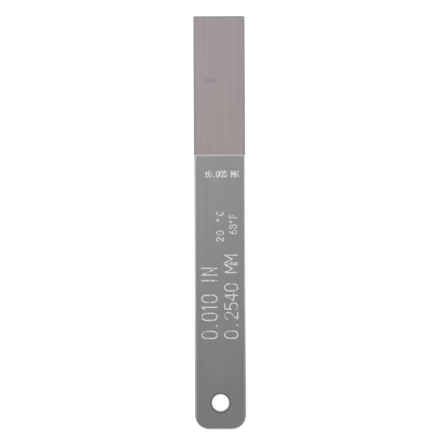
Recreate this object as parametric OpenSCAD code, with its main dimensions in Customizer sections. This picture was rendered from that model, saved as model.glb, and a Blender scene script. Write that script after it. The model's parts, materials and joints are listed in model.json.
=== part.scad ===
// Single-leaf feeler gauge: a spring-steel blade riveted between the two plates of a flat handle.
// It lies flat: the back plate rests on Z = 0, the length runs along Y and the blade's tip points to +Y.
// The origin is the middle of the whole outline, on the surface that the gauge rests on.
// All sizes are in millimetres.

/* [Handle] */
// Length of the handle, from its mouth to its hanging end
handle_length = 102; // [80:0.2:130]
// Width of the handle
handle_width = 19.05; // [17:0.05:26]
// Thickness of each of the two handle plates
plate_thickness = 1.2; // [0.9:0.05:2.4]
// Radius of the two corners at the hanging end
end_corner_radius = 5.4; // [2:0.1:7]
// Radius of the two corners at the mouth
mouth_corner_radius = 1.2; // [0.3:0.1:2]
// Rounding along each plate's outer edge
edge_rounding = 0.75; // [0.2:0.05:0.8]

/* [Hanging hole] */
// Diameter of the hanging hole
hole_diameter = 6.35; // [4:0.05:8]
// Distance from the hanging end to the middle of the hole
hole_setback = 9.9; // [8:0.1:14]
// Depth of the bevel round each end of the hole
hole_bevel = 0.12; // [0.05:0.01:0.4]

/* [Blade] */
// Width of the blade
blade_width = 19.05; // [16:0.05:26]
// Thickness of the blade, which is the size that the gauge measures
blade_thickness = 0.254; // [0.1:0.001:1]
// Length of the blade that stands out of the handle
blade_reach = 51.3; // [25:0.1:80]
// Length of the tang, the blade's hidden end between the plates
tang_length = 19.3; // [14:0.1:24]
// Radius of the two corners at the blade's tip
tip_corner_radius = 0.5; // [0.2:0.1:2]

/* [Spacer] */
// Gap between the end of the tang and the spacer
spacer_gap = 0.2; // [0.1:0.1:1]
// How far the spacer's edge lies inside the edge of the plates
spacer_inset = 0.1; // [0:0.05:0.5]

/* [Rivets] */
// Diameter of a rivet's shank
rivet_diameter = 2.4; // [1.6:0.1:3]
// Diameter of a rivet's flush countersunk heads
rivet_head_diameter = 3.8; // [3.2:0.1:5]
// Depth of a rivet's flush countersunk heads
rivet_head_depth = 0.6; // [0.3:0.05:0.7]
// Radial gap between a set rivet and its hole
rivet_play = 0.02; // [0.01:0.01:0.05]
// Distance across the width between the two rivets of a pair
rivet_pair_spacing = 12.6; // [8:0.1:13]
// Distance from the mouth to the pair of rivets through the tang
mouth_rivet_setback = 3.2; // [3:0.1:6]
// Distance from the end of the tang to the single rivet through it
tang_rivet_setback = 5; // [3:0.1:6]
// Distance from the mouth to the single rivet through the spacer
middle_rivet_setback = 35; // [30:0.5:45]
// Distance from the middle of the hanging hole to the pair of rivets next to it
rear_rivet_setback = 11; // [8:0.1:20]

/* [Hidden] */
$fn = 64;

// Least flat wall left beside a rounded edge, and least plate left under a rivet's head
least_land = 0.2;
// How far a cutting shape runs past the face that it cuts
overrun = 0.5;

total_length = handle_length + blade_reach;
total_thickness = 2 * plate_thickness + blade_thickness;
tip_y = total_length / 2;
hanging_end_y = -total_length / 2;
mouth_y = hanging_end_y + handle_length;
tang_end_y = mouth_y - tang_length;
spacer_front_y = tang_end_y - spacer_gap;
hole_y = hanging_end_y + hole_setback;

edge_radius = min(edge_rounding, plate_thickness - least_land);
mouth_radius = max(mouth_corner_radius, edge_radius);
end_radius = max(end_corner_radius, edge_radius);
head_depth = min(rivet_head_depth, plate_thickness - least_land);
hole_radius = hole_diameter / 2;

// Where each rivet stands
pair_x = rivet_pair_spacing / 2;
mouth_rivet_y = mouth_y - mouth_rivet_setback;
tang_rivet_y = tang_end_y + tang_rivet_setback;
rear_rivet_y = hole_y + rear_rivet_setback;
middle_rivet_y = mouth_y - middle_rivet_setback;
rivet_places = [
    ["rivet_mouth_left", -pair_x, mouth_rivet_y],
    ["rivet_mouth_right", pair_x, mouth_rivet_y],
    ["rivet_tang", 0, tang_rivet_y],
    ["rivet_middle", 0, middle_rivet_y],
    ["rivet_rear_left", -pair_x, rear_rivet_y],
    ["rivet_rear_right", pair_x, rear_rivet_y],
];

// Outline of a strip that lies along Y.
// near_radius is for its two near corners and far_radius for its two far corners.
module strip_outline(width, near_y, far_y, near_radius, far_radius) {
    half = width / 2;
    translate([-half, near_y + near_radius])
        square([width, far_y - far_radius - near_y - near_radius]);
    translate([-half + near_radius, near_y])
        square([width - 2 * near_radius, near_radius + overrun]);
    translate([-half + far_radius, far_y - far_radius - overrun])
        square([width - 2 * far_radius, far_radius + overrun]);
    for (side = [-1, 1]) {
        translate([side * (half - near_radius), near_y + near_radius])
            circle(r = near_radius);
        translate([side * (half - far_radius), far_y - far_radius])
            circle(r = far_radius);
    }
}

// Section of a plate's edge: reach wide, as high as the plate, with its outer upper corner rounded.
module edge_section(reach) {
    difference() {
        square([reach, plate_thickness]);
        translate([reach - edge_radius, plate_thickness - edge_radius])
            difference() {
                square(edge_radius + overrun);
                circle(r = edge_radius);
            }
    }
}

// Section of a plate right across its width or length: span wide, with both upper corners rounded.
module plate_section(span) {
    edge_section(span / 2);
    mirror([1, 0]) edge_section(span / 2);
}

// One corner of a plate, a quarter turn that starts at the angle given.
module plate_corner(radius, start) {
    rotate([0, 0, start])
        rotate_extrude(angle = 90)
            edge_section(radius);
}

// A handle plate with no holes, its flat inner face on Z = 0 and its rounded outer face upwards.
module plate_blank() {
    half = handle_width / 2;
    long_side = handle_length - end_radius - mouth_radius;
    translate([0, hanging_end_y + end_radius + long_side, 0])
        rotate([90, 0, 0])
            linear_extrude(height = long_side)
                plate_section(handle_width);
    translate([-half + end_radius, hanging_end_y + end_radius, 0])
        rotate([90, 0, 90])
            linear_extrude(height = handle_width - 2 * end_radius)
                mirror([1, 0]) edge_section(end_radius);
    translate([-half + mouth_radius, mouth_y - mouth_radius, 0])
        rotate([90, 0, 90])
            linear_extrude(height = handle_width - 2 * mouth_radius)
                edge_section(mouth_radius);
    translate([-half + end_radius, hanging_end_y + end_radius, 0])
        plate_corner(end_radius, 180);
    translate([half - end_radius, hanging_end_y + end_radius, 0])
        plate_corner(end_radius, 270);
    translate([half - mouth_radius, mouth_y - mouth_radius, 0])
        plate_corner(mouth_radius, 0);
    translate([-half + mouth_radius, mouth_y - mouth_radius, 0])
        plate_corner(mouth_radius, 90);
}

// A rivet that stands on Z = 0 with a flush countersunk head at each end.
// play widens it into its own hole.
module rivet_body(play = 0) {
    shank = rivet_diameter / 2 + play;
    head = rivet_head_diameter / 2 + play;
    rotate_extrude()
        polygon([
            [0, 0], [head, 0], [shank, head_depth],
            [shank, total_thickness - head_depth], [head, total_thickness], [0, total_thickness],
        ]);
}

// Every rivet hole, cut right through the handle.
module rivet_holes() {
    for (place = rivet_places)
        translate([place[1], place[2], 0])
            rivet_body(rivet_play);
}

// The hanging hole, with a bevel at the front and back faces.
module hanging_hole() {
    translate([0, hole_y, -overrun])
        cylinder(r = hole_radius, h = total_thickness + 2 * overrun);
    for (face = [0, 1])
        translate([0, hole_y, face * total_thickness])
            mirror([0, 0, face])
                cylinder(r1 = hole_radius + hole_bevel, r2 = hole_radius, h = hole_bevel);
}

// The handle plate on top, which carries the markings.
module front_plate() {
    color([0.56, 0.56, 0.56])
        difference() {
            translate([0, 0, plate_thickness + blade_thickness]) plate_blank();
            rivet_holes();
            hanging_hole();
        }
}

// The handle plate that the gauge rests on.
module back_plate() {
    color([0.56, 0.56, 0.56])
        difference() {
            translate([0, 0, plate_thickness]) mirror([0, 0, 1]) plate_blank();
            rivet_holes();
            hanging_hole();
        }
}

// The measuring blade, one flat leaf from its tip to the end of its tang.
module blade() {
    color([0.63, 0.59, 0.58])
        difference() {
            translate([0, 0, plate_thickness])
                linear_extrude(height = blade_thickness)
                    strip_outline(blade_width, tang_end_y, tip_y, tip_corner_radius, tip_corner_radius);
            rivet_holes();
        }
}

// The strip as thick as the blade that keeps the plates apart behind the tang.
module spacer() {
    color([0.5, 0.5, 0.5])
        difference() {
            translate([0, 0, plate_thickness])
                linear_extrude(height = blade_thickness)
                    strip_outline(
                        handle_width - 2 * spacer_inset, hanging_end_y + spacer_inset, spacer_front_y,
                        end_radius - spacer_inset, tip_corner_radius);
            rivet_holes();
            hanging_hole();
        }
}

// One flush rivet through both plates.
module rivet(place) {
    color([0.6, 0.6, 0.6])
        translate([place[1], place[2], 0])
            rivet_body();
}

front_plate();
back_plate();
blade();
spacer();
for (place = rivet_places)
    rivet(place);
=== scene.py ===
"""The finished look of a single-leaf feeler gauge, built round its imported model.

The gauge lies flat: its back rests on Z = 0, its length runs along Y and its blade points to +Y. Each
sub-assembly is a class whose fields are its sizes in metres. Its surfaces are worked out as whole arrays,
welded into one closed mesh and given the exact direction of the surface at every corner, so flat faces stay
flat and rounded edges stay smooth.
"""

import json
import logging
import math
from dataclasses import dataclass, field, replace
from enum import Enum

import bpy
import numpy as np
from mathutils import Matrix, Vector
from mathutils.geometry import delaunay_2d_cdt


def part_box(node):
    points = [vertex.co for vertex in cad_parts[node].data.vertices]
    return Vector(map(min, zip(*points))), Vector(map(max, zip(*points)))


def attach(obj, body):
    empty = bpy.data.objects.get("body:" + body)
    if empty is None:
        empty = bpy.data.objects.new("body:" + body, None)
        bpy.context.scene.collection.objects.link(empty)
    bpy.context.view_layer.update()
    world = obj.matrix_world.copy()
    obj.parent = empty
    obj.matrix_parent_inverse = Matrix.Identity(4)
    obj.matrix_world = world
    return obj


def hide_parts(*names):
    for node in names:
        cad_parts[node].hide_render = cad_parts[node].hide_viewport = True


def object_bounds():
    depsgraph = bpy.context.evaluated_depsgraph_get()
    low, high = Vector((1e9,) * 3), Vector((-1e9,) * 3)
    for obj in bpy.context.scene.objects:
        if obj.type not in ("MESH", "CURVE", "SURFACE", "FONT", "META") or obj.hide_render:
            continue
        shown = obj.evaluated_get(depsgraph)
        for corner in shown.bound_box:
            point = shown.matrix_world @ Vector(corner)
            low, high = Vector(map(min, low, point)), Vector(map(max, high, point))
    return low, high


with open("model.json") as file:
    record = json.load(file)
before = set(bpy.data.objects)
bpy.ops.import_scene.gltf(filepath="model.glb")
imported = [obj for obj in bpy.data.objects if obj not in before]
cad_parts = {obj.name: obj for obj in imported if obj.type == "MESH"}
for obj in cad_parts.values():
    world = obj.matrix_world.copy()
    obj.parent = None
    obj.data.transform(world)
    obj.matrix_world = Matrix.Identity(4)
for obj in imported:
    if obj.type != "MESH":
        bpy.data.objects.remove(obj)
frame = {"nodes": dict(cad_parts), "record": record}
packed_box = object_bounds()

MM = 0.001
QUARTER = math.pi / 2
ROOT_BODY = "root"
WELD_GRID = 1e-8  # metres: points that round to the same step of this grid are one point
FLAT_SLACK = 1e-6  # millimetres: points of a flat face that are nearer than this are one point
WHOLE_HULL = 0  # the triangulation keeps every triangle of its points' hull
ARC_STEP = 12.0  # degrees between the points of a character's arc
ARC_LEAST_STEPS = 4

Array = np.ndarray
Colour = tuple[float, float, float]
Point = tuple[float, float, float]
Pair = tuple[float, float]  # a place on a flat face, or a width and a length
Span = tuple[float, float]  # where a change starts and where it ends
Band = tuple[Span, Span, float]  # the radii, heights and lean of a straight band of a turned profile
Piece = bpy.types.Object
Material = bpy.types.Material
Socket = bpy.types.NodeSocket
Setting = float | Colour | Socket

log = logging.getLogger("feeler_gauge")


class Face(Enum):
    """Which way a flat face looks."""

    UP = 1.0
    DOWN = -1.0


class Reading(Enum):
    """Which way a row of characters runs over the front face, as a turn in degrees from +X."""

    ACROSS = 0.0
    TOWARDS_BLADE = 90.0


# ---- Surfaces and meshes ----


@dataclass
class Section:
    """A smooth stretch of section: how far inside the outline each point lies, how high, and how it leans.

    A lean of 0 looks straight out from the outline, a quarter turn looks straight up, and minus a quarter
    turn straight down.
    """

    inset: Array
    height: Array
    lean: Array

    @staticmethod
    def straight(start: Pair, end: Pair, lean: float) -> "Section":
        """A straight stretch between two (inset, height) points, with one lean."""
        return Section(np.array([start[0], end[0]]), np.array([start[1], end[1]]), np.full(2, lean))

    @staticmethod
    def rounding(radius: float, top: float, steps: int, face: Face = Face.UP) -> "Section":
        """A quarter round that joins an upright side to the flat face at height top.

        Formula: at the angle a, the inset is radius times (1 - cos a), and the height falls short of the
        face by radius times (1 - sin a).

        Args:
            radius: radius of the rounding.
            top: height of the flat face that it runs into.
            steps: number of facets in the quarter turn.
            face: which way that flat face looks.

        Returns:
            The rounding, from the upright side to the flat face.
        """
        angle = np.linspace(0.0, QUARTER, steps + 1)
        height = top - face.value * radius * (1.0 - np.sin(angle))
        return Section(radius * (1.0 - np.cos(angle)), height, face.value * angle)

    def backwards(self) -> "Section":
        """The same stretch, from its end to its start."""
        return Section(self.inset[::-1], self.height[::-1], self.lean[::-1])

    def then(self, after: "Section", shared: int = 0) -> "Section":
        """Runs this stretch and the one after it together as one smooth stretch.

        Args:
            after: the stretch that follows.
            shared: how many points at its start are this one's last points, and are left out.

        Returns:
            The joined stretch.
        """
        return Section(
            np.concatenate([self.inset, after.inset[shared:]]),
            np.concatenate([self.height, after.height[shared:]]),
            np.concatenate([self.lean, after.lean[shared:]]))


@dataclass
class Shell:
    """A closed mesh in the making: points, the surface's direction at each, and the corners of each face."""

    points: list[Array] = field(default_factory=list)
    normals: list[Array] = field(default_factory=list)
    corners: list[Array] = field(default_factory=list)
    count: int = 0

    def add(self, points: Array, normals: Array, corners: Array) -> None:
        """Adds faces of four corners each; a triangle names its last corner twice.

        Args:
            points: array whose last axis is X, Y and Z.
            normals: the surface's direction at each point, in the same form.
            corners: array of (faces, 4), which counts these points from 0.
        """
        self.points.append(points.reshape(-1, 3))
        self.normals.append(normals.reshape(-1, 3))
        self.corners.append(corners + self.count)
        self.count += points.reshape(-1, 3).shape[0]

    def add_grid(self, points: Array, normals: Array, closed_rows: bool = False,
                 closed_columns: bool = False) -> None:
        """Adds a grid of points as a sheet of four-cornered faces.

        Args:
            points: array of (rows, columns, 3).
            normals: the surface's direction at each point, in the same form.
            closed_rows: whether the last row joins the first.
            closed_columns: whether the last column joins the first.
        """
        rows, columns = points.shape[:2]
        row = np.arange(rows if closed_rows else rows - 1)[:, None]
        column = np.arange(columns if closed_columns else columns - 1)[None, :]
        next_row, next_column = (row + 1) % rows, (column + 1) % columns
        around = [row * columns + column, next_row * columns + column,
                  next_row * columns + next_column, row * columns + next_column]
        self.add(points, normals, np.stack(around, axis=-1).reshape(-1, 4))

    def add_flat(self, loops: list[Array], height: float, face: Face) -> None:
        """Adds a flat face at one height, bounded by its first loop and cut by the round loops after it.

        The face is the constrained Delaunay triangulation of the loops' points. Every loop is convex, so a
        triangle lies in a hole only when its three corners are all on the same inner loop.

        Args:
            loops: arrays of (points, 2), the outer loop first.
            height: height of the face.
            face: which way it looks.
        """
        flat = np.concatenate(loops)
        loop_of = np.repeat(np.arange(len(loops)), [len(loop) for loop in loops])
        first = np.concatenate([[0], np.cumsum([len(loop) for loop in loops])[:-1]])
        edges = np.concatenate([
            start + np.stack([np.arange(len(loop)), (np.arange(len(loop)) + 1) % len(loop)], axis=1)
            for start, loop in zip(first, loops)])
        found = delaunay_2d_cdt(
            [Vector(p) for p in flat / MM], edges.tolist(), [], WHOLE_HULL, FLAT_SLACK, True)
        source = np.array([ids[0] for ids in found[3]])
        triangles = source[np.array(found[2])]
        owner = loop_of[triangles]
        in_hole = (owner[:, 0] == owner[:, 1]) & (owner[:, 1] == owner[:, 2]) & (owner[:, 0] > 0)
        triangles = triangles[~in_hole]
        points = np.column_stack([flat, np.full(len(flat), height)])
        normals = np.tile([0.0, 0.0, face.value], (len(flat), 1))
        self.add(points, normals, np.column_stack([triangles, triangles[:, 2]]))

    def build(self, name: str) -> Piece:
        """Welds the points, turns every face outwards and makes the mesh object.

        A face points outwards when its own normal agrees with the directions given at its corners. A corner
        that the weld has made the same as the next one is dropped, which turns a collapsed face into a
        triangle.

        Args:
            name: name of the new object.

        Returns:
            The object, at the origin, with its place in its mesh.
        """
        points, normals = np.concatenate(self.points), np.concatenate(self.normals)
        corners = np.concatenate(self.corners)
        keys = np.round(points / WELD_GRID).astype(np.int64)
        _, kept, welded = np.unique(keys, axis=0, return_index=True, return_inverse=True)
        vertex = welded.reshape(-1)[corners]
        diagonals = points[corners[:, [2, 3]]] - points[corners[:, [0, 1]]]
        across = np.cross(diagonals[:, 0], diagonals[:, 1])
        facing = np.einsum("ij,ij->i", across, normals[corners].sum(axis=1))
        order = np.where((facing < 0)[:, None], [3, 2, 1, 0], [0, 1, 2, 3])
        vertex, corners = np.take_along_axis(vertex, order, 1), np.take_along_axis(corners, order, 1)
        keep = vertex != np.roll(vertex, -1, axis=1)
        keep &= (keep.sum(axis=1) >= 3)[:, None]
        totals = keep.sum(axis=1)
        totals = totals[totals > 0]
        mesh = bpy.data.meshes.new(name)
        mesh.vertices.add(len(kept))
        mesh.vertices.foreach_set("co", points[kept].astype(np.float32).ravel())
        mesh.loops.add(int(keep.sum()))
        mesh.loops.foreach_set("vertex_index", vertex[keep].astype(np.int32))
        mesh.polygons.add(len(totals))
        starts = np.concatenate([[0], np.cumsum(totals)[:-1]])
        mesh.polygons.foreach_set("loop_start", starts.astype(np.int32))
        mesh.update(calc_edges=True)
        mesh.validate()
        mesh.shade_smooth()
        mesh.normals_split_custom_set(normals[corners[keep]])
        piece = bpy.data.objects.new(name, mesh)
        bpy.context.scene.collection.objects.link(piece)
        return piece


@dataclass(frozen=True)
class Strip:
    """Outline of a strip along Y: a rectangle with one radius at its near corners and one at its far ones."""

    half_width: float
    near_y: float
    far_y: float
    near_radius: float
    far_radius: float
    steps: int = 28

    def carry(self, section: Section) -> tuple[Array, Array]:
        """Carries a section round the outline.

        Formula: each quarter turn's centre, plus its radius less the inset times the outward direction, at
        the section's height. The straight sides are the steps between one quarter turn and the next.

        Args:
            section: the stretch of section to carry.

        Returns:
            Points and directions, each an array of (places round the outline, places along the section, 3).
        """
        per_corner = self.steps + 1
        turn = (np.arange(4)[:, None] * QUARTER + np.linspace(0.0, QUARTER, per_corner)).ravel()
        radius = np.repeat([self.far_radius, self.far_radius, self.near_radius, self.near_radius], per_corner)
        side = np.repeat([1.0, -1.0, -1.0, 1.0], per_corner)
        centre_x = side * (self.half_width - radius)
        centre_y = np.repeat([self.far_y - self.far_radius, self.near_y + self.near_radius], 2 * per_corner)
        reach = radius[:, None] - section.inset[None, :]
        points = np.stack([
            centre_x[:, None] + reach * np.cos(turn)[:, None],
            centre_y[:, None] + reach * np.sin(turn)[:, None],
            np.broadcast_to(section.height, reach.shape)], axis=-1)
        return points, lean_out(turn, section.lean)

    def loop(self, inset: float) -> Array:
        """The outline's own points, this far inside it, as an array of (points, 2)."""
        return self.carry(Section(np.array([inset]), np.zeros(1), np.zeros(1)))[0][:, 0, :2]


@dataclass(frozen=True)
class Round:
    """A round hole or a turned piece about an upright axis."""

    x: float
    y: float
    steps: int = 72

    def carry(self, radius: Array, height: Array, lean: Array, inward: bool = False) -> tuple[Array, Array]:
        """Turns a profile about the axis.

        Formula: the axis plus the profile's radius times the direction of each step of a whole turn, at the
        profile's height.

        Args:
            radius: radius at each place along the profile.
            height: height at each place.
            lean: how far the surface leans up from looking straight away from the axis.
            inward: whether the surface looks towards the axis, as a hole's wall does.

        Returns:
            Points and directions, each an array of (places round the axis, places along the profile, 3).
        """
        turn = np.linspace(0.0, 2 * math.pi, self.steps, endpoint=False)
        points = np.stack([
            self.x + np.cos(turn)[:, None] * radius[None, :],
            self.y + np.sin(turn)[:, None] * radius[None, :],
            np.broadcast_to(height, (self.steps, len(height)))], axis=-1)
        normals = lean_out(turn, lean)
        if inward:
            normals = normals * [-1.0, -1.0, 1.0]
        return points, normals

    def loop(self, radius: float) -> Array:
        """The circle of this radius, as an array of (points, 2)."""
        return self.carry(np.array([radius]), np.zeros(1), np.zeros(1))[0][:, 0, :2]

    def line(self, shell: Shell, bands: tuple[Band, ...], way: float, inward: bool = False) -> None:
        """Adds the straight bands of a turned profile to a shell, each with its own lean.

        Args:
            shell: the mesh in the making.
            bands: the two radii, the two heights and the lean of each band.
            way: 1 where the profile starts from a face that looks up, and -1 where it looks down.
            inward: whether the surface looks towards the axis.
        """
        for radius, height, lean in bands:
            surface = self.carry(np.array(radius), np.array(height), np.full(2, way * lean), inward)
            shell.add_grid(*surface, closed_rows=True)


def lean_out(turn: Array, lean: Array) -> Array:
    """Outward directions: (cos, sin) of each turn times cos of each lean, and sin of the lean.

    Args:
        turn: angles from +X round the Z axis.
        lean: angles up from level.

    Returns:
        Array of (turns, leans, 3).
    """
    across = np.cos(lean)[None, :]
    return np.stack([
        np.cos(turn)[:, None] * across,
        np.sin(turn)[:, None] * across,
        np.broadcast_to(np.sin(lean), (len(turn), len(lean)))], axis=-1)


# ---- Places that several pieces share ----


@dataclass(frozen=True)
class RivetFit:
    """Sizes that every rivet and its holes share."""

    shank_radius: float = 1.2 * MM
    head_depth: float = 0.6 * MM
    play: float = 0.02 * MM
    edge_break: float = 0.03 * MM


@dataclass(frozen=True)
class RivetPlace:
    """One rivet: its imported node, the place of its axis and the radius of its heads."""

    node: str
    x: float
    y: float
    head_radius: float

    @staticmethod
    def of(node: str) -> "RivetPlace":
        """Reads the rivet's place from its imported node."""
        low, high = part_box(node)
        return RivetPlace(node, (low.x + high.x) / 2, (low.y + high.y) / 2, (high.x - low.x) / 2)

    def centre(self) -> Round:
        """The rivet's axis."""
        return Round(self.x, self.y)


@dataclass(frozen=True)
class HangingHole:
    """The hanging hole, as its mount states it, with a bevel at both faces of the handle."""

    y: float
    radius: float
    bevel: float
    steps: int = 120

    @staticmethod
    def of(record: dict, thickness: float) -> "HangingHole":
        """Reads the hole from the record; the bevels take what its straight wall leaves of the thickness.

        Args:
            record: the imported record.
            thickness: of the whole handle.

        Returns:
            The hole.
        """
        mount = next(m for m in record["mounts"] if m["name"] == "hanging_hole")
        dims = mount["dims"]
        return HangingHole(mount["pos_m"][1], dims["r_mm"] * MM, (thickness - dims["length_mm"] * MM) / 2)

    def centre(self) -> Round:
        """The hole's axis, in steps fine enough for its size."""
        return Round(0.0, self.y, self.steps)


# ---- Finishes ----


@dataclass(frozen=True)
class Grain:
    """Soft noise: the size of its grain across the gauge and through it, and along it, in metres.

    Detail says how many finer layers lie on it, roughness how strong each of them is, and the seed shifts
    the pattern.
    """

    across: float
    along: float
    detail: float = 2.0
    roughness: float = 0.5
    seed: float = 0.0


class Recipe:
    """Builds one node material, with short calls for the steps that the finishes share."""

    def __init__(self, name: str) -> None:
        """Starts a material with one Principled shader.

        Args:
            name: name of the new material.
        """
        self.material = bpy.data.materials.new(name)
        self.material.use_nodes = True
        self.tree = self.material.node_tree
        self.shader = self.tree.nodes["Principled BSDF"]
        self.place = self.tree.nodes.new("ShaderNodeTexCoord").outputs["Object"]

    def node(self, kind: str, **settings: object) -> bpy.types.Node:
        """Adds a node and sets its properties.

        Args:
            kind: the node's type.
            settings: its properties by name.

        Returns:
            The node.
        """
        made = self.tree.nodes.new(kind)
        for key, value in settings.items():
            setattr(made, key, value)
        return made

    def feed(self, socket: Socket, value: Setting) -> None:
        """Links an output to a socket, or sets the socket to a plain number or an opaque colour.

        Args:
            socket: the input to feed.
            value: an output, a number or a colour.
        """
        if isinstance(value, Socket):
            self.tree.links.new(value, socket)
        else:
            socket.default_value = (*value, 1.0) if isinstance(value, tuple) else value

    def noise(self, grain: Grain, turn: float = 0.0) -> Socket:
        """Soft noise with the given grain.

        Args:
            grain: the size of the pattern and its layers.
            turn: angle in degrees by which the grain's long side leaves the Y axis.

        Returns:
            The noise, mostly from 0.2 to 0.8.
        """
        turned = self.node("ShaderNodeMapping")
        turned.inputs["Rotation"].default_value = (0.0, 0.0, math.radians(turn))
        self.feed(turned.inputs["Vector"], self.place)
        mapping = self.node("ShaderNodeMapping")
        mapping.inputs["Scale"].default_value = (1.0 / grain.across, 1.0 / grain.along, 1.0 / grain.across)
        mapping.inputs["Location"].default_value = (grain.seed, 2.0 * grain.seed, 3.0 * grain.seed)
        self.feed(mapping.inputs["Vector"], turned.outputs["Vector"])
        noise = self.node("ShaderNodeTexNoise")
        self.feed(noise.inputs["Scale"], 1.0)
        self.feed(noise.inputs["Detail"], grain.detail)
        self.feed(noise.inputs["Roughness"], grain.roughness)
        self.feed(noise.inputs["Vector"], mapping.outputs["Vector"])
        return noise.outputs["Fac"]

    def math(self, operation: str, *values: Setting) -> Socket:
        """Adds one arithmetic step.

        Args:
            operation: the step's name, as the Math node has it.
            values: what it works on, in order.

        Returns:
            The result.
        """
        made = self.node("ShaderNodeMath", operation=operation)
        for socket, value in zip(made.inputs, values):
            self.feed(socket, value)
        return made.outputs["Value"]

    def blend(self, share: float, first: Socket, second: Socket) -> Socket:
        """The first value times the share, plus the second times the rest."""
        return self.math("MULTIPLY_ADD", first, share, self.math("MULTIPLY", second, 1.0 - share))

    def remap(self, value: Socket, span: Span, onto: Span = (0.0, 1.0)) -> Socket:
        """Carries one span of values over to another, smoothly and held at both ends.

        Args:
            value: the value to carry over.
            span: where the change starts and ends.
            onto: the values that stand for those two ends.

        Returns:
            The value carried over.
        """
        made = self.node("ShaderNodeMapRange", interpolation_type="SMOOTHSTEP")
        for socket, number in zip(made.inputs, (value, *span, *onto)):
            self.feed(socket, number)
        return made.outputs["Result"]

    def mix(self, share: Setting, first: Setting, second: Setting) -> Socket:
        """Mixes two colours.

        Args:
            share: how much of the second shows, from 0 to 1.
            first: the colour at 0.
            second: the colour at 1.

        Returns:
            The mixed colour.
        """
        made = self.node("ShaderNodeMix", data_type="RGBA")
        self.feed(made.inputs["Factor"], share)
        for name, colour in (("A", first), ("B", second)):
            self.feed(next(s for s in made.inputs if s.name == name and s.type == "RGBA"), colour)
        return next(s for s in made.outputs if s.type == "RGBA")

    def scratches(self, streak: Grain, turns: tuple[float, ...], rare: Span = (0.74, 0.80)) -> Socket:
        """Sparse thin scratches, one family for each turn: where stretched noise is at its highest.

        Args:
            streak: the grain of one family, whose seed the next families count up from.
            turns: the turn of each family's length from the Y axis, in degrees.
            rare: the span of noise over which a scratch comes in.

        Returns:
            1 on a scratch and 0 beside it.
        """
        total: Socket | None = None
        for number, turn in enumerate(turns):
            noise = self.noise(replace(streak, seed=streak.seed + number), turn)
            family = self.remap(noise, rare)
            total = family if total is None else self.math("MAXIMUM", total, family)
        return total

    def distance(self, x: float, y: float) -> Socket:
        """How far a place lies from an upright axis: the root of the sum of both offsets squared.

        Args:
            x: place of the axis.
            y: place of the axis.

        Returns:
            The distance in metres.
        """
        across = self.math("SUBTRACT", self.axis("X"), x)
        along = self.math("SUBTRACT", self.axis("Y"), y)
        squares = self.math("MULTIPLY_ADD", across, across, self.math("MULTIPLY", along, along))
        return self.math("SQRT", squares)

    def axis(self, name: str) -> Socket:
        """One coordinate of the place on the piece.

        Args:
            name: X, Y or Z.

        Returns:
            The coordinate in metres.
        """
        split = self.node("ShaderNodeSeparateXYZ")
        self.feed(split.inputs["Vector"], self.place)
        return split.outputs[name]

    def tilt(self) -> Socket:
        """How far the surface has turned from level: 1 less the upright part of its direction.

        Returns:
            0 on a level face and 1 on an upright one.
        """
        split = self.node("ShaderNodeSeparateXYZ")
        self.feed(split.inputs["Vector"], self.node("ShaderNodeNewGeometry").outputs["Normal"])
        return self.math("SUBTRACT", 1.0, self.math("ABSOLUTE", split.outputs["Z"]))

    def bump(self, height: Socket, depth: float) -> None:
        """Raises and lowers the surface.

        Args:
            height: a pattern from 0 to 1.
            depth: how many metres its 1 stands for.
        """
        made = self.node("ShaderNodeBump")
        self.feed(made.inputs["Strength"], 1.0)
        self.feed(made.inputs["Distance"], depth)
        self.feed(made.inputs["Height"], height)
        self.feed(self.shader.inputs["Normal"], made.outputs["Normal"])

    def set(self, settings: dict[str, Setting]) -> None:
        """Feeds the shader's sockets, by their names."""
        for name, value in settings.items():
            self.feed(self.shader.inputs[name], value)


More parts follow.
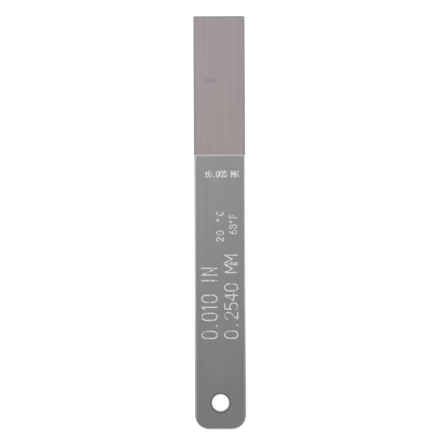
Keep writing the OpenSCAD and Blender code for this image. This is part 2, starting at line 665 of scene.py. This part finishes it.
@dataclass(frozen=True)
class SatinSteel:
    """Steel with a fine lengthwise satin grain, crossed by stray scratches.

    Its rounded edges carry a painted highlight near the mouth that fades into painted shade towards the
    hanging end, its upright walls keep the darker cut surface, and a darker uneven ring lies round the
    hanging hole.
    A tilt is 0 on a level face and 1 on an upright one.
    """

    name: str
    hole: HangingHole
    colour: Colour = (0.457, 0.457, 0.457)
    # painted highlight on the rounded edges near the mouth; the bright scratches take this colour too
    scratch_and_edge_highlight_colour: Colour = (0.78, 0.78, 0.78)
    # painted shade on the rounded edges towards the hanging end
    edge_shade_colour: Colour = (0.40, 0.40, 0.40)
    wall_colour: Colour = (0.36, 0.36, 0.36)
    # colour of a darker uneven ring round the hanging hole
    hole_ring_colour: Colour = (0.24, 0.235, 0.23)
    roughness: float = 0.32
    roughness_spread: float = 0.10
    edge_roughness: float = 0.31
    edge_tilt: Span = (0.004, 0.15)
    wall_tilt: Span = (0.6, 0.95)
    # where the rounded edges go from painted shade to painted highlight
    edge_shade_to_highlight_y: Span = (-72.0 * MM, -15.0 * MM)
    hole_ring_width: float = 0.8 * MM
    hole_ring_fade: Span = (0.4, 1.3)
    hole_ring_share: float = 0.8
    smudge: Grain = Grain(9.0 * MM, 14.0 * MM, detail=3.0, seed=3.0)
    fine: Grain = Grain(0.05 * MM, 5.0 * MM, roughness=0.6)
    broad: Grain = Grain(0.35 * MM, 28.0 * MM, detail=3.0, roughness=0.55, seed=7.0)
    broad_share: float = 0.5
    grain_span: Span = (0.3, 0.7)
    grain_contrast: float = 0.07
    grain_depth: float = 0.6e-6
    scratch: Grain = Grain(0.05 * MM, 9.0 * MM, detail=0.0, seed=23.0)
    scratch_turns: tuple[float, ...] = (24.0, -37.0, 71.0)
    scratch_share: float = 0.35

    def material(self) -> Material:
        """Makes the material.

        Returns:
            Metal whose colour follows a fine grain and stray scratches, and whose roughness follows broad
            smudges. Where it turns over an edge it takes a painted highlight near the mouth and painted shade
            towards the hanging end, and past that the cut wall's colour.
        """
        recipe = Recipe(self.name)
        smudge = recipe.noise(self.smudge)
        grain = recipe.blend(self.broad_share, recipe.noise(self.broad), recipe.noise(self.fine))
        scratch = recipe.math(
            "MULTIPLY", recipe.scratches(self.scratch, self.scratch_turns), self.scratch_share)
        dark, light = (
            tuple(channel * share for channel in self.colour)
            for share in (1.0 - self.grain_contrast, 1.0 + self.grain_contrast))
        brushed = recipe.mix(recipe.remap(grain, self.grain_span), dark, light)
        scratched = recipe.mix(scratch, brushed, self.scratch_and_edge_highlight_colour)
        # darker uneven ring round the hanging hole
        ringed = recipe.mix(self._hole_ring(recipe, smudge), scratched, self.hole_ring_colour)
        # rounded edges: painted shade towards the hanging end, painted highlight towards the mouth
        along = recipe.remap(recipe.axis("Y"), self.edge_shade_to_highlight_y)
        rounded = recipe.mix(along, self.edge_shade_colour, self.scratch_and_edge_highlight_colour)
        tilt = recipe.tilt()
        edge, wall = recipe.remap(tilt, self.edge_tilt), recipe.remap(tilt, self.wall_tilt)
        flat_roughness = recipe.math(
            "MULTIPLY_ADD", smudge, self.roughness_spread, self.roughness - self.roughness_spread / 2)
        recipe.set({
            "Base Color": recipe.mix(edge, ringed, recipe.mix(wall, rounded, self.wall_colour)),
            "Metallic": 1.0,
            "Roughness": recipe.math(
                "MULTIPLY_ADD", edge, self.edge_roughness - self.roughness, flat_roughness)})
        recipe.bump(grain, self.grain_depth)
        return recipe.material

    def _hole_ring(self, recipe: Recipe, smudge: Socket) -> Socket:
        """How much of the darker ring colour a place takes: most at the hanging hole's rim, none beyond an
        uneven ring.

        Args:
            recipe: the material in the making.
            smudge: the noise that makes the ring uneven.

        Returns:
            The ring colour's share from 0 to 1.
        """
        away = recipe.distance(0.0, self.hole.y)
        width = recipe.math("MULTIPLY_ADD", smudge, self.hole_ring_width, self.hole_ring_width / 2)
        rim = recipe.math("SUBTRACT", away, self.hole.radius)
        return recipe.remap(recipe.math("DIVIDE", rim, width), self.hole_ring_fade, (self.hole_ring_share, 0.0))


@dataclass(frozen=True)
class SpringSteel:
    """Cold-rolled and polished spring steel: warm grey with rolling lines, faint tints and a darker band at
    its edges.
    """

    name: str
    half_width: float
    tip_y: float
    colour: Colour = (0.466, 0.404, 0.426)
    straw_colour: Colour = (0.488, 0.420, 0.416)
    bright_colour: Colour = (0.51, 0.46, 0.462)
    edge_colour: Colour = (0.405, 0.412, 0.412)
    edge_band: Span = (0.2 * MM, 1.3 * MM)
    roughness: float = 0.215
    roughness_spread: float = 0.05
    tint: Grain = Grain(6.0 * MM, 17.0 * MM, detail=1.0, roughness=0.4, seed=5.0)
    straw_span: Span = (0.3, 0.8)
    tongue_taper: float = 1.8
    tongue_from_tip: Span = (12.0 * MM, 38.0 * MM)
    tongue_pull: Span = (-0.35, 0.55)
    fine: Grain = Grain(0.04 * MM, 9.0 * MM, roughness=0.6, seed=1.0)
    lines: Grain = Grain(0.8 * MM, 70.0 * MM, detail=3.0, seed=11.0)
    lines_share: float = 0.4
    lines_span: Span = (0.35, 0.7)
    lines_brightness: float = 0.5
    grain_depth: float = 0.35e-6
    scratch: Grain = Grain(0.04 * MM, 14.0 * MM, detail=0.0, seed=23.0)
    scratch_turns: tuple[float, ...] = (8.0, -13.0, 64.0)
    scratch_share: float = 0.4

    def material(self) -> Material:
        """Makes the material.

        Returns:
            Metal with long rolling lines, a faint mauve tint at the tip and sides that drifts into a tongue
            of straw towards the handle, a few scratches, and a narrow darker band at the edges.
        """
        recipe = Recipe(self.name)
        lines, tint = recipe.noise(self.lines), recipe.noise(self.tint)
        grain = recipe.blend(self.lines_share, lines, recipe.noise(self.fine))
        scratch = recipe.math(
            "MULTIPLY", recipe.scratches(self.scratch, self.scratch_turns), self.scratch_share)
        off_middle = recipe.math("ABSOLUTE", recipe.axis("X"))
        from_side = recipe.math("SUBTRACT", self.half_width, off_middle)
        from_tip = recipe.math("SUBTRACT", self.tip_y, recipe.axis("Y"))
        edge = recipe.remap(recipe.math("MINIMUM", from_side, from_tip), self.edge_band, (1.0, 0.0))
        tongue = recipe.math("MULTIPLY_ADD", off_middle, -self.tongue_taper, from_tip)
        pull = recipe.remap(tongue, self.tongue_from_tip, self.tongue_pull)
        straw = recipe.remap(recipe.math("ADD", tint, pull), self.straw_span)
        tinted = recipe.mix(straw, self.colour, self.straw_colour)
        line = recipe.remap(lines, self.lines_span, (0.0, self.lines_brightness))
        lined = recipe.mix(line, tinted, self.bright_colour)
        scratched = recipe.mix(scratch, lined, self.bright_colour)
        recipe.set({
            "Base Color": recipe.mix(edge, scratched, self.edge_colour),
            "Metallic": 1.0,
            "Roughness": recipe.math("MULTIPLY_ADD", tint, self.roughness_spread, self.roughness)})
        recipe.bump(grain, self.grain_depth)
        return recipe.material


@dataclass(frozen=True)
class MarkPaint:
    """Paint or oxide of a marking, thin and uneven, with the metal showing through where it has worn.

    Wear runs from 0 to 1, and more of it lowers the noise at which a patch of the coat is gone.
    """

    name: str
    colour: Colour
    under_colour: Colour
    wear: float
    roughness: float = 0.55
    patches: Grain = Grain(1.3 * MM, 1.6 * MM, detail=3.0, roughness=0.55, seed=4.0)
    patch_edge: Span = (0.70, 0.80)
    wear_drop: float = 0.3
    most_gone: float = 0.85

    def material(self) -> Material:
        """Makes the material.

        Returns:
            A matt coat that is broken by patches of the metal under it.
        """
        recipe = Recipe(self.name)
        low, high = (level - self.wear_drop * self.wear for level in self.patch_edge)
        gone = recipe.remap(recipe.noise(self.patches), (low, high), (0.0, self.most_gone))
        recipe.set({
            "Base Color": recipe.mix(gone, self.colour, self.under_colour),
            "Metallic": gone,
            "Roughness": self.roughness})
        return recipe.material


@dataclass(frozen=True)
class PaleFloor:
    """The plain pale table that the gauge lies on, of opal acrylic lit softly from beneath."""

    name: str
    colour: Colour = (0.9, 0.9, 0.9)
    roughness: float = 0.9
    glow: float = 0.7

    def material(self) -> Material:
        """Makes the material.

        Returns:
            A matt white that glows a little, with no pattern.
        """
        recipe = Recipe(self.name)
        recipe.set({
            "Base Color": self.colour,
            "Roughness": self.roughness,
            "Specular IOR Level": 0.0,
            "Emission Color": self.colour,
            "Emission Strength": self.glow})
        return recipe.material


# ---- Sub-assemblies ----


def show(piece: Piece, material: Material, nodes: tuple[str, ...] = ()) -> None:
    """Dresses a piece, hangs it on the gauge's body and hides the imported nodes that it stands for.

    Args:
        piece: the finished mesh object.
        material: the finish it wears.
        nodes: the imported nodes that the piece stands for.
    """
    piece.data.materials.append(material)
    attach(piece, ROOT_BODY)
    if nodes:
        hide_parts(*nodes)
    log.info("%s: %d faces", piece.name, len(piece.data.polygons))


@dataclass
class Plate:
    """One of the handle's two plates: a rounded outer edge, countersunk rivet holes and the hanging hole."""

    node: str
    face: Face
    hole: HangingHole
    rivets: list[RivetPlace]
    material: Material
    fit: RivetFit = RivetFit()
    end_radius: float = 5.4 * MM
    mouth_radius: float = 1.2 * MM
    rounding: float = 0.75 * MM
    rounding_steps: int = 14
    inner_break: float = 0.04 * MM
    bevel_steps: int = 6

    def build(self) -> Piece:
        """Makes the plate.

        Returns:
            The finished plate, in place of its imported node.
        """
        low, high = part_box(self.node)
        strip = Strip((high.x - low.x) / 2, low.y, high.y, self.end_radius, self.mouth_radius)
        outer, inner = (high.z, low.z) if self.face is Face.UP else (low.z, high.z)
        way = self.face.value
        broken = inner + way * self.inner_break
        side = Section.straight((0.0, broken), (0.0, outer - way * self.rounding), 0.0)
        edge = Section.rounding(self.rounding, outer, self.rounding_steps, self.face)
        bevel = Section.straight((self.inner_break, inner), (0.0, broken), -way * QUARTER / 2)
        shell = Shell()
        shell.add_grid(*strip.carry(side.then(edge, shared=1)), closed_rows=True)
        shell.add_grid(*strip.carry(bevel), closed_rows=True)
        outer_loops, inner_loops = [strip.loop(self.rounding)], [strip.loop(self.inner_break)]
        self._cut_rivet_holes(shell, outer, inner, outer_loops, inner_loops)
        self._cut_hanging_hole(shell, outer, inner, outer_loops, inner_loops)
        shell.add_flat(outer_loops, outer, self.face)
        shell.add_flat(inner_loops, inner, Face(-way))
        piece = shell.build(self.node + "_shell")
        show(piece, self.material, (self.node,))
        return piece

    def _cut_rivet_holes(self, shell: Shell, outer: float, inner: float, outer_loops: list[Array],
                         inner_loops: list[Array]) -> None:
        """Lines each rivet hole: a broken edge, a cone for the head and a straight wall for the shank.

        Args:
            shell: the plate in the making.
            outer: height of the face that shows.
            inner: height of the face that lies on the leaves.
            outer_loops: the outer face's loops, which each hole adds one to.
            inner_loops: the inner face's loops, in the same way.
        """
        way, fit = self.face.value, self.fit
        shank = fit.shank_radius + fit.play
        broken, seat = outer - way * fit.edge_break, outer - way * fit.head_depth
        for place in self.rivets:
            centre, head = place.centre(), place.head_radius + fit.play
            cone_lean = math.atan2(head - shank, fit.head_depth)
            neck = shank + (head - shank) * (1.0 - fit.edge_break / fit.head_depth)
            mouth = head + fit.edge_break / 2
            centre.line(shell, (
                ((mouth, neck), (outer, broken), QUARTER / 2),
                ((neck, shank), (broken, seat), cone_lean),
                ((shank, shank), (seat, inner), 0.0)), way, inward=True)
            outer_loops.append(centre.loop(mouth))
            inner_loops.append(centre.loop(shank))

    def _cut_hanging_hole(self, shell: Shell, outer: float, inner: float, outer_loops: list[Array],
                          inner_loops: list[Array]) -> None:
        """Lines the hanging hole: a rounded bevel at the face and a straight wall.

        Formula: at the angle a, the bevel's radius is the hole's plus the bevel times (1 - cos a), and its
        height falls short of the face by the bevel times (1 - sin a).

        Args:
            shell: the plate in the making.
            outer: height of the face that shows.
            inner: height of the face that lies on the leaves.
            outer_loops: the outer face's loops, which the hole adds one to.
            inner_loops: the inner face's loops, in the same way.
        """
        way, hole = self.face.value, self.hole
        centre = hole.centre()
        angle = np.linspace(QUARTER, 0.0, self.bevel_steps + 1)
        radius = np.append(hole.radius + hole.bevel * (1.0 - np.cos(angle)), hole.radius)
        height = np.append(outer - way * hole.bevel * (1.0 - np.sin(angle)), inner)
        lean = np.append(way * angle, 0.0)
        shell.add_grid(*centre.carry(radius, height, lean, inward=True), closed_rows=True)
        outer_loops.append(centre.loop(radius[0]))
        inner_loops.append(centre.loop(hole.radius))


@dataclass
class Leaf:
    """A flat leaf between the plates, with softly broken edges: the blade, or the spacer behind its tang."""

    node: str
    slot: str
    material: Material
    rivets: list[RivetPlace]
    near_radius: float
    far_radius: float
    hole: HangingHole | None = None
    fit: RivetFit = RivetFit()
    corner_steps: int = 12
    edge_break: float = 0.03 * MM
    edge_steps: int = 3

    def build(self) -> Piece:
        """Makes the leaf.

        Returns:
            The finished leaf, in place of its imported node.
        """
        low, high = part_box(self.node)
        strip = Strip(
            (high.x - low.x) / 2, low.y, high.y, self.near_radius, self.far_radius, self.corner_steps)
        lower = Section.rounding(self.edge_break, low.z, self.edge_steps, Face.DOWN)
        upper = Section.rounding(self.edge_break, high.z, self.edge_steps, Face.UP)
        shell = Shell()
        shell.add_grid(*strip.carry(lower.backwards().then(upper)), closed_rows=True)
        loops = [strip.loop(self.edge_break)]
        shank = self.fit.shank_radius + self.fit.play
        holes = [(place.centre(), shank) for place in self.rivets if low.y < place.y < high.y]
        if self.hole:
            holes.append((self.hole.centre(), self.hole.radius))
        for centre, radius in holes:
            centre.line(shell, (((radius, radius), (low.z, high.z), 0.0),), Face.UP.value, inward=True)
            loops.append(centre.loop(radius))
        shell.add_flat(loops, high.z, Face.UP)
        shell.add_flat(loops, low.z, Face.DOWN)
        piece = shell.build(self.node + "_leaf")
        show(piece, self.material, (self.node,))
        return piece


@dataclass
class SetRivet:
    """A set rivet: a shank with a flush countersunk head at each face, the head's rim slightly broken."""

    place: RivetPlace
    material: Material
    fit: RivetFit = RivetFit()

    def build(self) -> Piece:
        """Makes the rivet.

        Returns:
            The finished rivet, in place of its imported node.
        """
        low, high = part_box(self.place.node)
        fit, centre, head = self.fit, self.place.centre(), self.place.head_radius
        shank, middle = fit.shank_radius, (low.z + high.z) / 2
        cone_lean = math.atan2(head - shank, fit.head_depth)
        rim = head - fit.edge_break / 2
        neck = head - (head - shank) * fit.edge_break / fit.head_depth
        shell = Shell()
        for face, level in ((Face.UP, high.z), (Face.DOWN, low.z)):
            way = face.value
            broken, seat = level - way * fit.edge_break, level - way * fit.head_depth
            centre.line(shell, (
                ((0.0, rim), (level, level), QUARTER),
                ((rim, neck), (level, broken), QUARTER / 2),
                ((neck, shank), (broken, seat), -cone_lean),
                ((shank, shank), (seat, middle), 0.0)), way)
        piece = shell.build("set_" + self.place.node)
        show(piece, self.material, (self.place.node,))
        return piece


# ---- Markings ----


@dataclass(frozen=True)
class Arc:
    """Part of an ellipse, in shares of the capital's height, turning from start to end."""

    x: float
    y: float
    across: float
    up: float
    start: float
    end: float

    def path(self) -> Array:
        """Works out points along the arc: its centre plus its half-axes times (cos, sin) of each angle.

        Returns:
            Array of (points, 2).
        """
        steps = max(ARC_LEAST_STEPS, int(abs(self.end - self.start) / ARC_STEP))
        angle = np.radians(np.linspace(self.start, self.end, steps + 1))
        return np.column_stack([self.x + self.across * np.cos(angle), self.y + self.up * np.sin(angle)])


@dataclass(frozen=True)
class Bar:
    """A straight stroke between two points of a character's square."""

    x0: float
    y0: float
    x1: float
    y1: float

    def path(self) -> Array:
        """The stroke's two ends."""
        return np.array([[self.x0, self.y0], [self.x1, self.y1]])


Stroke = Arc | Bar

# Each character's strokes in a square whose side is the capital's height, centred on X = 0.
CHARACTERS: dict[str, tuple[Stroke, ...]] = {
    "0": (Arc(0, 0.7, 0.27, 0.3, 0, 180), Bar(-0.27, 0.7, -0.27, 0.3), Arc(0, 0.3, 0.27, 0.3, 180, 360),
          Bar(0.27, 0.3, 0.27, 0.7)),
    "1": (Bar(-0.16, 0.8, 0.04, 1), Bar(0.04, 1, 0.04, 0)),
    "2": (Arc(0, 0.72, 0.26, 0.28, 165, -35), Bar(0.213, 0.559, -0.27, 0), Bar(-0.27, 0, 0.27, 0)),
    "4": (Bar(0.12, 0, 0.12, 1), Bar(0.12, 1, -0.28, 0.3), Bar(-0.28, 0.3, 0.28, 0.3)),
    "5": (Bar(0.24, 1, -0.2, 1), Bar(-0.2, 1, -0.24, 0.55), Arc(-0.02, 0.31, 0.28, 0.31, 140, -155)),
    "6": (Arc(0, 0.29, 0.27, 0.29, 0, 360), Arc(0.2, 0.3, 0.47, 0.7, 90, 180)),
    "8": (Arc(0, 0.76, 0.22, 0.24, 0, 360), Arc(0, 0.27, 0.27, 0.27, 0, 360)),
    ".": (Bar(0, 0, 0, 0.06),),
    "°": (Arc(0, 0.84, 0.13, 0.14, 0, 360),),
    "±": (Bar(0, 0.88, 0, 0.32), Bar(-0.26, 0.6, 0.26, 0.6), Bar(-0.26, 0.05, 0.26, 0.05)),
    "C": (Arc(0.02, 0.5, 0.28, 0.5, 50, 310),),
    "F": (Bar(-0.22, 0, -0.22, 1), Bar(-0.22, 1, 0.24, 1), Bar(-0.22, 0.53, 0.15, 0.53)),
    "I": (Bar(0, 0, 0, 1),),
    "M": (Bar(-0.3, 0, -0.3, 1), Bar(-0.3, 1, 0, 0.4), Bar(0, 0.4, 0.3, 1), Bar(0.3, 1, 0.3, 0)),
    "N": (Bar(-0.26, 0, -0.26, 1), Bar(-0.26, 1, 0.26, 0), Bar(0.26, 0, 0.26, 1)),
}


@dataclass(frozen=True)
class Row:
    """A row of characters on a flat face, as rounded beads of paint that follow their strokes.

    Height is the capital's, pitch the step from one character to the next, width and rise a bead's, and
    narrowing squeezes each character across.
    """

    name: str
    text: str
    start: Pair
    reading: Reading
    height: float
    pitch: float
    width: float
    rise: float = 0.015 * MM
    narrowing: float = 1.0
    sides: int = 10
    cap_steps: int = 4

    def bead(self, path: Array, level: float) -> tuple[Array, Array]:
        """The surface of a bead laid along a path, with round ends.

        Formula: an ellipse, half the width across and the rise up, is carried along the path. At each end
        it runs on by half the width times sin a, and shrinks by cos a, as a goes through a quarter turn.

        Args:
            path: array of (points, 2), in metres.
            level: height of the face that the bead lies on.

        Returns:
            Points and directions, each an array of (places along the path, places round the bead, 3).
        """
        half = self.width / 2
        leg = np.diff(path, axis=0)
        leg = leg / np.linalg.norm(leg, axis=1)[:, None]
        tangent = np.concatenate([leg[:1], leg[:-1] + leg[1:], leg[-1:]])
        tangent = tangent / np.linalg.norm(tangent, axis=1)[:, None]
        cap = np.linspace(0.0, QUARTER, self.cap_steps + 1)[1:]
        along = np.concatenate([
            path[0] - np.outer(half * np.sin(cap[::-1]), tangent[0]), path,
            path[-1] + np.outer(half * np.sin(cap), tangent[-1])])
        heading = np.concatenate(
            [np.tile(tangent[0], (len(cap), 1)), tangent, np.tile(tangent[-1], (len(cap), 1))])
        slope = np.concatenate([-cap[::-1], np.zeros(len(path)), cap])
        share = np.cos(slope)
        aside = np.column_stack([-heading[:, 1], heading[:, 0]])
        angle = np.linspace(0.0, 2 * math.pi, self.sides, endpoint=False)
        flat = along[:, None, :] + (share[:, None] * half * np.cos(angle))[..., None] * aside[:, None, :]
        up = level + share[:, None] * self.rise * np.sin(angle)
        way = (np.cos(angle)[None, :, None] * aside[:, None, :] * share[:, None, None] / half
               + (np.sin(slope)[:, None, None] * heading[:, None, :] / half) * np.ones((1, self.sides, 1)))
        normal = np.concatenate([way, (share[:, None] * np.sin(angle) / self.rise)[..., None]], axis=-1)
        length = np.linalg.norm(normal, axis=-1)
        return np.concatenate([flat, up[..., None]], axis=-1), normal / length[..., None]

    def build(self, level: float, material: Material, slot: str) -> Piece:
        """Lays the row's beads on a face.

        Args:
            level: height of that face.
            material: the paint.
            slot: the record's material slot of the paint; not used.

        Returns:
            The finished row.
        """
        shell = Shell()
        angle = math.radians(self.reading.value)
        turn = np.array([[math.cos(angle), math.sin(angle)], [-math.sin(angle), math.cos(angle)]])
        for place, character in enumerate(self.text):
            for stroke in CHARACTERS.get(character, ()):
                upright = stroke.path() * [self.height * self.narrowing, self.height]
                upright = upright + [(place + 0.5) * self.pitch, 0.0]
                shell.add_grid(*self.bead(upright @ turn + self.start, level), closed_columns=True)
        piece = shell.build(self.name)
        show(piece, material)
        return piece


@dataclass
class Markings:
    """The size marks: the blade's thickness in both units, its tolerance and the temperature it holds at."""

    front_level: float
    blade_level: float
    mouth_y: float
    tip_y: float
    white: MarkPaint = MarkPaint("marking_white", (0.96, 0.96, 0.96), (0.5, 0.5, 0.5), wear=0.60)
    dark: MarkPaint = MarkPaint(
        "marking_dark", (0.30, 0.28, 0.28), (0.48, 0.42, 0.43), wear=0.45, roughness=0.45)

    def build(self) -> None:
        """Lays every row on the front plate and the small size mark on the blade."""
        white, along = self.white.material(), Reading.TOWARDS_BLADE
        rows = (
            Row("mark_inch", "0.010 IN", self._behind(self.mouth_y, -1.1, 68.6), along,
                height=5.7 * MM, pitch=3.35 * MM, width=0.47 * MM, narrowing=0.85),
            Row("mark_metric", "0.2540 MM", self._behind(self.mouth_y, 6.5, 68.6), along,
                height=4.8 * MM, pitch=3.5 * MM, width=0.47 * MM),
            Row("mark_celsius", "20 °C", self._behind(self.mouth_y, 1.3, 32.8), along,
                height=2.5 * MM, pitch=2.4 * MM, width=0.40 * MM),
            Row("mark_fahrenheit", "68°F", self._behind(self.mouth_y, 6.2, 29.8), along,
                height=2.6 * MM, pitch=1.95 * MM, width=0.38 * MM),
            Row("mark_tolerance", "±0.005 MM", self._behind(self.mouth_y, -5.6, 8.4), Reading.ACROSS,
                height=2.15 * MM, pitch=1.4 * MM, width=0.48 * MM, narrowing=0.78),
        )
        for row in rows:
            row.build(self.front_level, white, "marking_white")
        etched = Row("mark_blade", ".010", self._behind(self.tip_y, -6.4, 24.7), Reading.ACROSS,
                     height=1.8 * MM, pitch=1.3 * MM, width=0.22 * MM, rise=0.004 * MM)
        etched.build(self.blade_level, self.dark.material(), "marking_dark")

    @staticmethod
    def _behind(edge_y: float, x: float, back: float) -> Pair:
        """A place x millimetres across and back millimetres behind the edge at edge_y, in metres."""
        return x * MM, edge_y - back * MM


# ---- Floor, light and camera ----


@dataclass(frozen=True)
class Softbox:
    """A large evenly lit panel that faces its aim; its power is pi times its area times its radiance."""

    name: str
    place: Point
    aim: Point
    size: Pair
    radiance: float

    def build(self) -> None:
        """Hangs the panel and turns it towards its aim."""
        light = bpy.data.lights.new(self.name, "AREA")
        light.shape = "RECTANGLE"
        light.size, light.size_y = self.size
        light.energy = math.pi * self.size[0] * self.size[1] * self.radiance
        lamp = bpy.data.objects.new(self.name, light)
        lamp.visible_camera = False
        lamp.location = self.place
        lamp.rotation_euler = (Vector(self.aim) - Vector(self.place)).to_track_quat("-Z", "Y").to_euler()
        bpy.context.scene.collection.objects.link(lamp)


@dataclass
class Studio:
    """A plain pale table under soft light, and a long lens that looks straight down on the front face.

    The field is the width that the lens takes in. The camera hangs a little aside and ahead of the gauge's
    centre, and its roll is in degrees.
    """

    centre: Vector
    top: float
    field: float = 163.0 * MM
    lens: float = 200.0
    sensor: float = 36.0
    clip: Span = (0.01, 50.0)
    aside: float = 0.08 * MM
    ahead: float = 1.0 * MM
    roll: float = 0.25
    floor_size: float = 12.0
    floor_points: int = 5
    zenith: float = 0.17
    horizon: float = 0.5
    sky_fade: Span = (0.03, 0.35)
    softboxes: tuple[Softbox, ...] = (
        Softbox("overhead", (-0.35, 0.45, 1.5), (-0.35, 0.45, 0.0), (1.1, 1.1), 0.68),
        Softbox("left_wall", (-1.2, 0.3, 1.2), (0.0, 0.3, 0.0), (2.0, 0.8), 1.35),
        Softbox("right_wall", (1.2, 0.1, 1.2), (0.0, 0.1, 0.0), (2.0, 1.2), 0.95),
        Softbox("far_wall", (0.0, 1.5, 1.2), (0.0, 0.0, 0.0), (1.0, 1.2), 1.2),
        Softbox("near_wall", (0.0, -1.5, 1.0), (0.0, 0.0, 0.0), (2.4, 1.4), 0.8),
    )

    def build(self) -> None:
        """Makes the table, the sky, the lights and the camera."""
        self._lay_floor()
        self._light_sky()
        for softbox in self.softboxes:
            softbox.build()
        self._hang_camera()
        bpy.context.scene.view_settings.view_transform = "Standard"

    def _lay_floor(self) -> None:
        """Lays the table as one level sheet."""
        half = self.floor_size / 2
        shell = Shell()
        grid = np.linspace(-half, half, self.floor_points)
        x, y = np.meshgrid(grid, grid, indexing="ij")
        points = np.stack([x, y, np.zeros_like(x)], axis=-1)
        shell.add_grid(points, np.broadcast_to([0.0, 0.0, 1.0], points.shape))
        floor = shell.build("floor")
        floor.data.materials.append(PaleFloor("pale_floor").material())

    def _light_sky(self) -> None:
        """Lights the sky all round, from the horizon's brightness down to the dimmer zenith.

        The white backdrop that shows behind the table lights nothing, so the steel keeps its own shades.
        """
        world = bpy.data.worlds.new("studio_sky")
        world.use_nodes = True
        bpy.context.scene.world = world
        tree = world.node_tree
        direction = tree.nodes.new("ShaderNodeTexCoord").outputs["Generated"]
        split = tree.nodes.new("ShaderNodeSeparateXYZ")
        fade = tree.nodes.new("ShaderNodeMapRange")
        fade.interpolation_type = "SMOOTHSTEP"
        ends = {
            "From Min": self.sky_fade[0], "From Max": self.sky_fade[1],
            "To Min": self.horizon, "To Max": self.zenith}
        for name, value in ends.items():
            fade.inputs[name].default_value = value
        tree.links.new(direction, split.inputs["Vector"])
        tree.links.new(split.outputs["Z"], fade.inputs["Value"])
        seen = tree.nodes.new("ShaderNodeMath")
        seen.operation = "MAXIMUM"
        tree.links.new(tree.nodes.new("ShaderNodeLightPath").outputs["Is Camera Ray"], seen.inputs[0])
        tree.links.new(fade.outputs["Result"], seen.inputs[1])
        tree.links.new(seen.outputs["Value"], tree.nodes["Background"].inputs["Strength"])
        tree.nodes["Background"].inputs["Color"].default_value = (1.0, 1.0, 1.0, 1.0)

    def _hang_camera(self) -> None:
        """Hangs the camera over the gauge, at the distance at which the lens takes in the field."""
        data = bpy.data.cameras.new("camera")
        data.lens, data.sensor_width = self.lens, self.sensor
        distance = self.field * self.lens / self.sensor
        data.clip_start, data.clip_end = self.clip
        camera = bpy.data.objects.new("camera", data)
        above = Vector((self.centre.x + self.aside, self.centre.y + self.ahead, self.top + distance))
        place = Matrix.Translation(above)
        camera.matrix_world = place @ Matrix.Rotation(math.radians(-self.roll), 4, "Z")
        bpy.context.scene.collection.objects.link(camera)
        bpy.context.scene.camera = camera


def main() -> None:
    """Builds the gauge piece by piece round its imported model, then the studio."""
    logging.basicConfig(level=logging.INFO, format="%(name)s: %(message)s")
    low, high = packed_box
    record = frame["record"]
    hole = HangingHole.of(record, high.z - low.z)
    rivets = [RivetPlace.of(node) for node in sorted(frame["nodes"]) if node.startswith("rivet_")]
    handle_steel = SatinSteel("handle_satin_steel", hole).material()
    for node, face in (("front_plate", Face.UP), ("back_plate", Face.DOWN)):
        Plate(node, face, hole, rivets, handle_steel).build()

    blade_low, blade_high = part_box("blade")
    half_width = (blade_high.x - blade_low.x) / 2
    blade_steel = SpringSteel("blade_spring_steel", half_width, blade_high.y).material()
    Leaf("blade", "blade_steel", blade_steel, rivets, near_radius=0.5 * MM, far_radius=0.5 * MM).build()

    spacer_steel = SatinSteel("spacer_steel", hole, colour=(0.40, 0.40, 0.40)).material()
    Leaf("spacer", "spacer_steel", spacer_steel, rivets, near_radius=5.3 * MM, far_radius=0.5 * MM,
         hole=hole).build()

    rivet_steel = SatinSteel("rivet_steel", hole, colour=(0.462, 0.462, 0.462)).material()
    for place in rivets:
        SetRivet(place, rivet_steel).build()

    mouth_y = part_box("front_plate")[1].y
    Markings(high.z, blade_high.z, mouth_y, blade_high.y).build()

    Studio((low + high) / 2, high.z).build()


if __name__ == "__main__":
    main()
